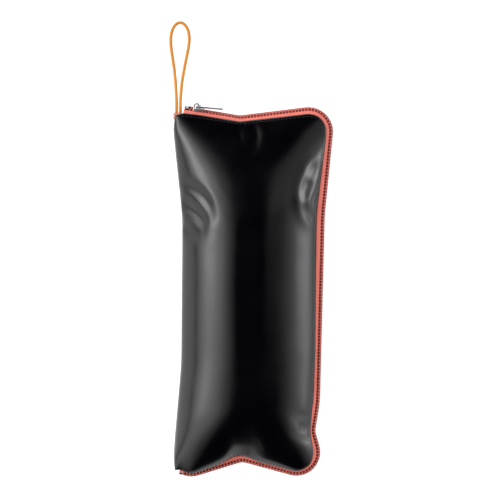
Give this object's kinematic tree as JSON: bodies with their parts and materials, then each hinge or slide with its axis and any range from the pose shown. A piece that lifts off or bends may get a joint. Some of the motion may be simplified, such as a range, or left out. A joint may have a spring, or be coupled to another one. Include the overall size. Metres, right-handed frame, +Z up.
{
  "type": "training bumper",
  "caption": "Padded zip-up pouch of coated fabric, thrown or held as a dog training bumper, with an elastic carry loop at one corner.",
  "frame": {"origin": "centre of the bumper's length and width, on the surface it lies on", "axes": "+X from the folded side towards the long zipped side, +Y along the bumper towards the carry loop's end, +Z up through its thickness"},
  "size_m": [0.102, 0.2829, 0.045],
  "materials": {
    "coated_fabric": "smooth coated tarpaulin with a soft gloss",
    "zip_tape": "woven polyester tape",
    "zip_teeth": "satin moulded",
    "plated_metal": "bright nickel plate",
    "elastic_cord": "braided elastic",
    "thread": "polyester thread",
    "insert_fabric": "plain woven",
    "filling": "soft fibre filling"
  },
  "bodies": {
    "pouch": {"back_panel": "coated_fabric", "spine_fold": "coated_fabric", "insert_core": "filling", "insert_sleeve": "insert_fabric", "back_zip_tape": "zip_tape", "back_zip_teeth": "zip_teeth", "back_teeth_start": "zip_teeth", "back_top_stop": "plated_metal", "bottom_stop": "plated_metal", "loop_anchor": "zip_tape", "loop_bar_tack": "thread", "carry_loop": "elastic_cord"},
    "cover": {"front_panel": "coated_fabric", "front_zip_tape": "zip_tape", "front_tape_start": "zip_tape", "front_zip_teeth": "zip_teeth", "front_teeth_start": "zip_teeth", "front_top_stop": "plated_metal"},
    "slider": {"slider_body": "plated_metal"},
    "pull": {"pull_tab": "plated_metal"}
  },
  "joints": [
    {"name": "cover_open", "type": "hinge", "parent": "pouch", "child": "cover", "pos_m": [-0.0505, 0, 0.02], "axis": [0, -1, 0], "range_deg": [0, 165], "deforming": ["spine_fold", "front_tape_start", "front_teeth_start"]},
    {"name": "slider_slide", "type": "slide", "parent": "pouch", "child": "slider", "axis": [0.9857, -0.1684, 0], "range_m": [0, 0.016], "deforming": ["front_teeth_start", "back_teeth_start"]},
    {"name": "pull_swing", "type": "hinge", "parent": "slider", "child": "pull", "pos_m": [-0.03513, 0.11594, 0.02103], "axis": [-0.0576, -0.3371, 0.9397], "range_deg": [-3, 160]}
  ]
}
